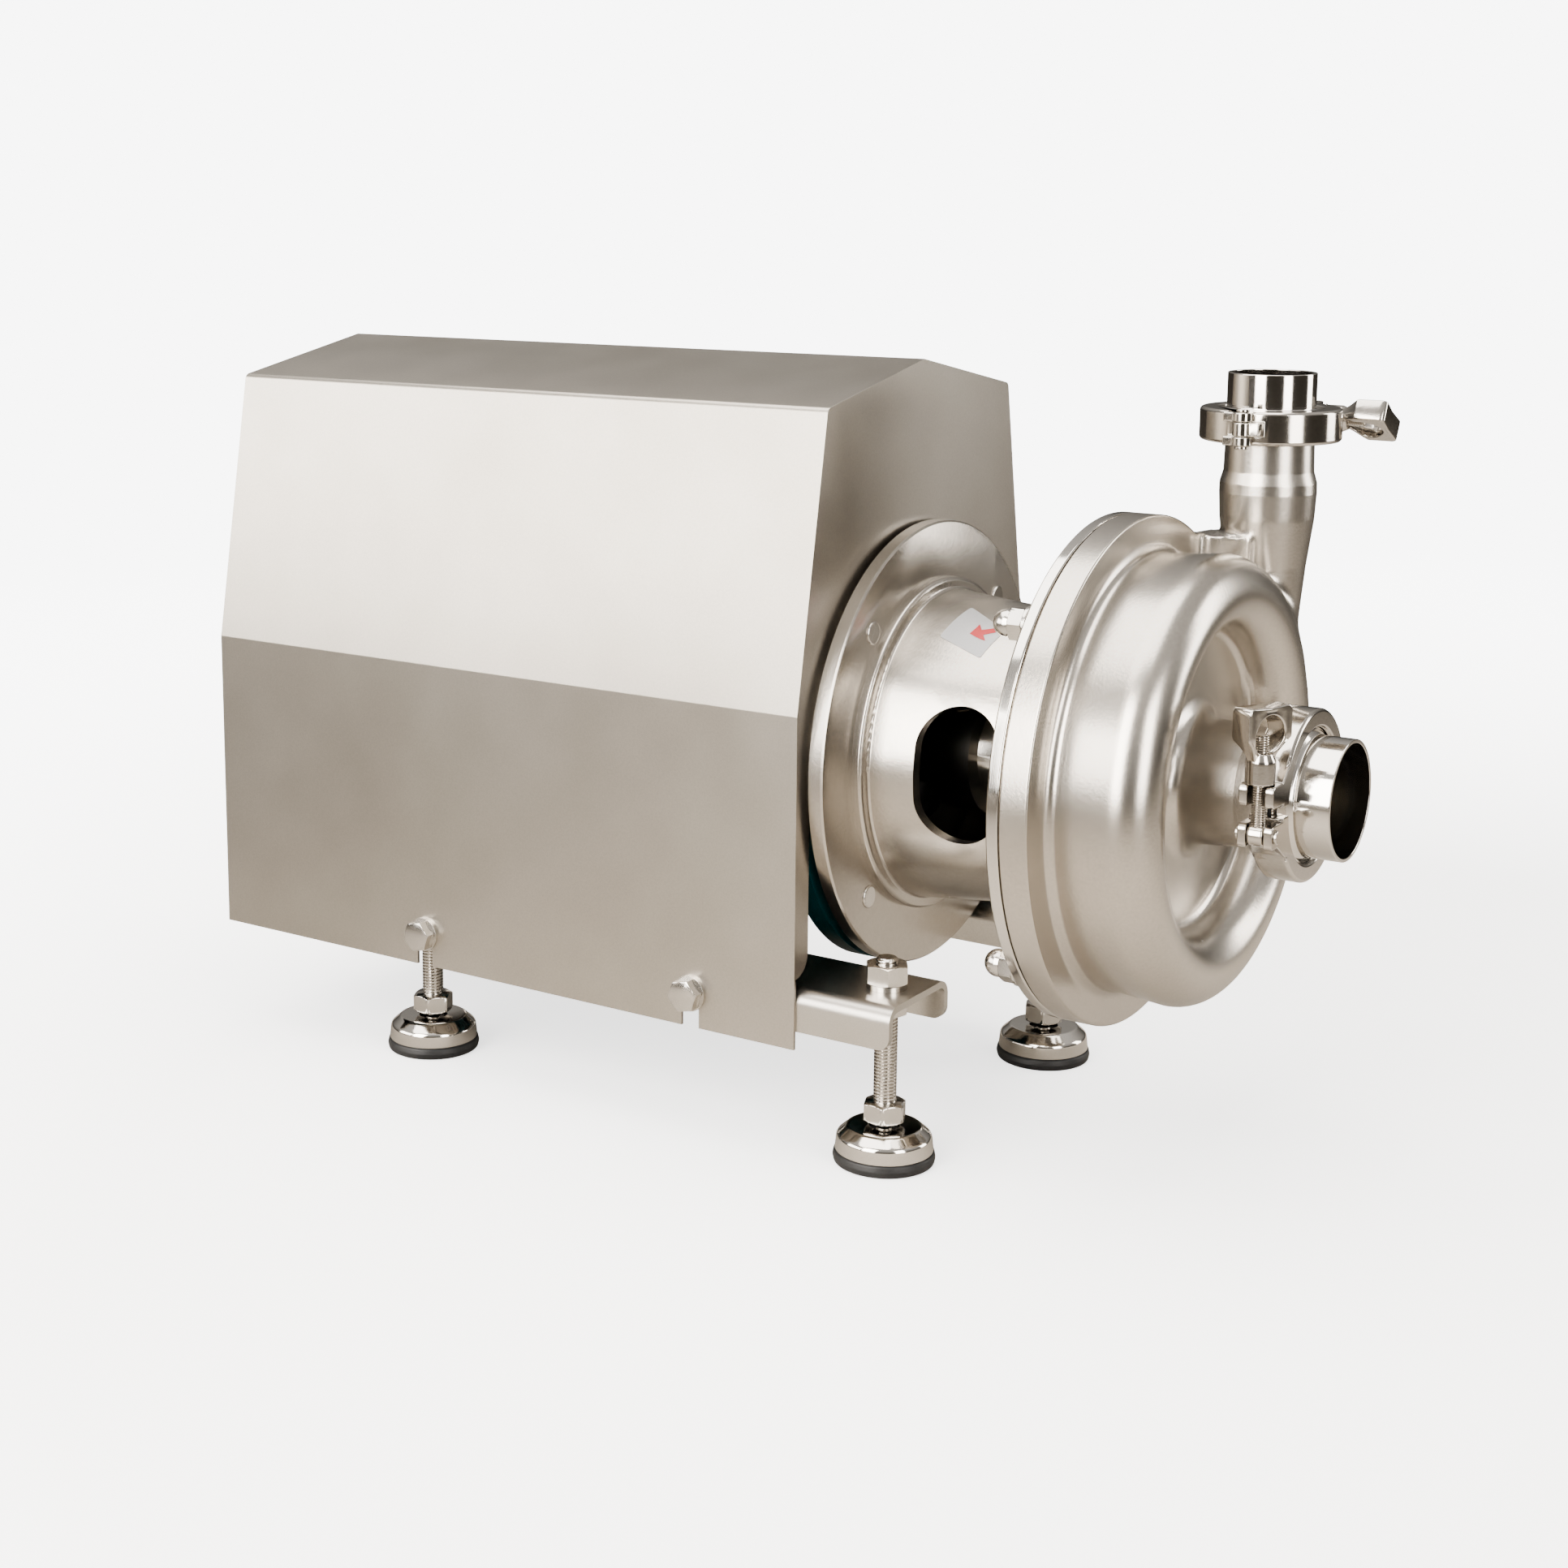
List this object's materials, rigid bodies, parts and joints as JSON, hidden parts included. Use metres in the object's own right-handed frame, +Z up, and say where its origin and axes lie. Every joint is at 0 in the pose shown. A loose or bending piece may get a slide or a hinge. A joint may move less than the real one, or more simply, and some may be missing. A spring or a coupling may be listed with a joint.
{
  "type": "sanitary centrifugal pump",
  "caption": "Close-coupled stainless centrifugal pump with a sheet cover over its motor, a lantern adapter, a round casing, clamped ferrule ports and levelling feet.",
  "frame": {"origin": "centre of the inlet tube's free end, on the shaft axis", "axes": "+X out of the inlet along the shaft, +Z up along the outlet, +Y towards the outlet's side"},
  "size_m": [0.5304, 0.2389, 0.3393],
  "materials": {
    "cover_sheet": "fine bead-blasted stainless sheet",
    "rail_steel": "satin stainless sheet",
    "cast_steel": "bead-blasted cast stainless",
    "polished_steel": "mirror-polished stainless",
    "clamp_steel": "polished cast stainless",
    "fastener": "bright stainless fasteners",
    "shaft_steel": "turned stainless",
    "bearing_steel": "ground bearing steel",
    "motor_paint": "satin blue-green motor paint",
    "winding_core": "laminated core and varnished windings",
    "fan_plastic": "black moulded fan",
    "gland_plastic": "black moulded gland",
    "seal_face": "lapped carbon and ceramic",
    "seal_rubber": "moulded seal rubber",
    "foot_rubber": "moulded black rubber"
  },
  "bodies": {
    "root": {"cover": "cover_sheet", "cover_bolts": "fastener", "rail_near": "rail_steel", "rail_far": "rail_steel", "foot_lock_nuts": "fastener", "motor_frame": "motor_paint", "motor_foot_bolts": "fastener", "drive_end_shield": "motor_paint", "rear_end_shield": "motor_paint", "bearing_outer_rings": "bearing_steel", "stator": "winding_core", "fan_cover": "motor_paint", "terminal_box": "motor_paint", "cable_gland": "gland_plastic", "adapter": "cast_steel", "adapter_bolts": "fastener", "back_plate": "polished_steel", "back_plate_screws": "fastener", "casing": "cast_steel", "inlet_neck": "cast_steel", "outlet_riser": "cast_steel", "casing_studs": "fastener", "dome_nuts": "fastener", "casing_gasket": "seal_rubber", "seal_seat": "seal_face", "inlet_ferrule": "polished_steel", "inlet_clamp_fixed_half": "clamp_steel", "outlet_ferrule": "polished_steel", "outlet_clamp_fixed_half": "clamp_steel", "port_gaskets": "seal_rubber", "clamp_pins": "clamp_steel"},
    "rotor": {"motor_shaft": "shaft_steel", "rotor_core": "winding_core", "cooling_fan": "fan_plastic", "bearing_inner_rings": "bearing_steel", "pump_shaft": "shaft_steel", "shaft_collar": "shaft_steel", "collar_screws": "fastener", "seal_ring": "seal_face", "seal_spring": "shaft_steel", "impeller": "cast_steel", "impeller_nut": "polished_steel"},
    "inlet_clamp_half": {"inlet_clamp_moving_half": "clamp_steel"},
    "inlet_bolt": {"inlet_swing_bolt": "clamp_steel"},
    "inlet_nut": {"inlet_wing_nut": "clamp_steel"},
    "outlet_clamp_half": {"outlet_clamp_moving_half": "clamp_steel"},
    "outlet_bolt": {"outlet_swing_bolt": "clamp_steel"},
    "outlet_nut": {"outlet_wing_nut": "clamp_steel"},
    "foot_stem_front_near": {"foot_rod_front_near": "fastener"},
    "foot_base_front_near": {"foot_cap_front_near": "polished_steel", "foot_pad_front_near": "foot_rubber"},
    "foot_stem_front_far": {"foot_rod_front_far": "fastener"},
    "foot_base_front_far": {"foot_cap_front_far": "polished_steel", "foot_pad_front_far": "foot_rubber"},
    "foot_stem_rear_near": {"foot_rod_rear_near": "fastener"},
    "foot_base_rear_near": {"foot_cap_rear_near": "polished_steel", "foot_pad_rear_near": "foot_rubber"},
    "foot_stem_rear_far": {"foot_rod_rear_far": "fastener"},
    "foot_base_rear_far": {"foot_cap_rear_far": "polished_steel", "foot_pad_rear_far": "foot_rubber"}
  },
  "joints": [
    {"name": "rotor_spin", "type": "hinge", "parent": "root", "child": "rotor", "pos_m": [-0.15, 0, 0], "axis": [1, 0, 0], "continuous": true},
    {"name": "inlet_bolt_swing", "type": "hinge", "parent": "root", "child": "inlet_bolt", "pos_m": [-0.0223, -0.0436, -0.008], "axis": [1, 0, 0], "range_deg": [0, 50]},
    {"name": "inlet_nut_unscrew", "type": "slide", "parent": "inlet_bolt", "child": "inlet_nut", "axis": [0, 0, 1], "range_m": [0, 0.014]},
    {"name": "inlet_clamp_open", "type": "hinge", "parent": "root", "child": "inlet_clamp_half", "pos_m": [-0.0223, 0.0394, 0], "axis": [-1, 0, 0], "range_deg": [0, 7.6]},
    {"name": "outlet_bolt_swing", "type": "hinge", "parent": "root", "child": "outlet_bolt", "pos_m": [-0.0767, 0.1138, 0.1445], "axis": [0, 0, 1], "range_deg": [0, 50]},
    {"name": "outlet_nut_unscrew", "type": "slide", "parent": "outlet_bolt", "child": "outlet_nut", "axis": [1, 0, 0], "range_m": [0, 0.014]},
    {"name": "outlet_clamp_open", "type": "hinge", "parent": "root", "child": "outlet_clamp_half", "pos_m": [-0.0687, 0.0424, 0.1445], "axis": [0, 0, -1], "range_deg": [0, 7.6]},
    {"name": "foot_screw_front_near", "type": "slide", "parent": "root", "child": "foot_stem_front_near", "axis": [0, 0, 1], "range_m": [-0.01, 0.025]},
    {"name": "foot_tilt_front_near", "type": "hinge", "parent": "foot_stem_front_near", "child": "foot_base_front_near", "pos_m": [-0.1697, -0.0783, -0.156], "axis": [0, 1, 0], "range_deg": [-5, 5]},
    {"name": "foot_screw_front_far", "type": "slide", "parent": "root", "child": "foot_stem_front_far", "axis": [0, 0, 1], "range_m": [-0.01, 0.025]},
    {"name": "foot_tilt_front_far", "type": "hinge", "parent": "foot_stem_front_far", "child": "foot_base_front_far", "pos_m": [-0.1697, 0.0783, -0.156], "axis": [0, 1, 0], "range_deg": [-5, 5]},
    {"name": "foot_screw_rear_near", "type": "slide", "parent": "root", "child": "foot_stem_rear_near", "axis": [0, 0, 1], "range_m": [-0.01, 0.025]},
    {"name": "foot_tilt_rear_near", "type": "hinge", "parent": "foot_stem_rear_near", "child": "foot_base_rear_near", "pos_m": [-0.4208, -0.0783, -0.156], "axis": [0, 1, 0], "range_deg": [-5, 5]},
    {"name": "foot_screw_rear_far", "type": "slide", "parent": "root", "child": "foot_stem_rear_far", "axis": [0, 0, 1], "range_m": [-0.01, 0.025]},
    {"name": "foot_tilt_rear_far", "type": "hinge", "parent": "foot_stem_rear_far", "child": "foot_base_rear_far", "pos_m": [-0.4208, 0.0783, -0.156], "axis": [0, 1, 0], "range_deg": [-5, 5]}
  ],
  "couplings": [
    {"joint": "inlet_nut_unscrew", "follows": "inlet_bolt_swing", "m_per_rad": 0.016042},
    {"joint": "inlet_clamp_open", "follows": "inlet_bolt_swing", "ratio": 0.152},
    {"joint": "outlet_nut_unscrew", "follows": "outlet_bolt_swing", "m_per_rad": 0.016042},
    {"joint": "outlet_clamp_open", "follows": "outlet_bolt_swing", "ratio": 0.152}
  ]
}
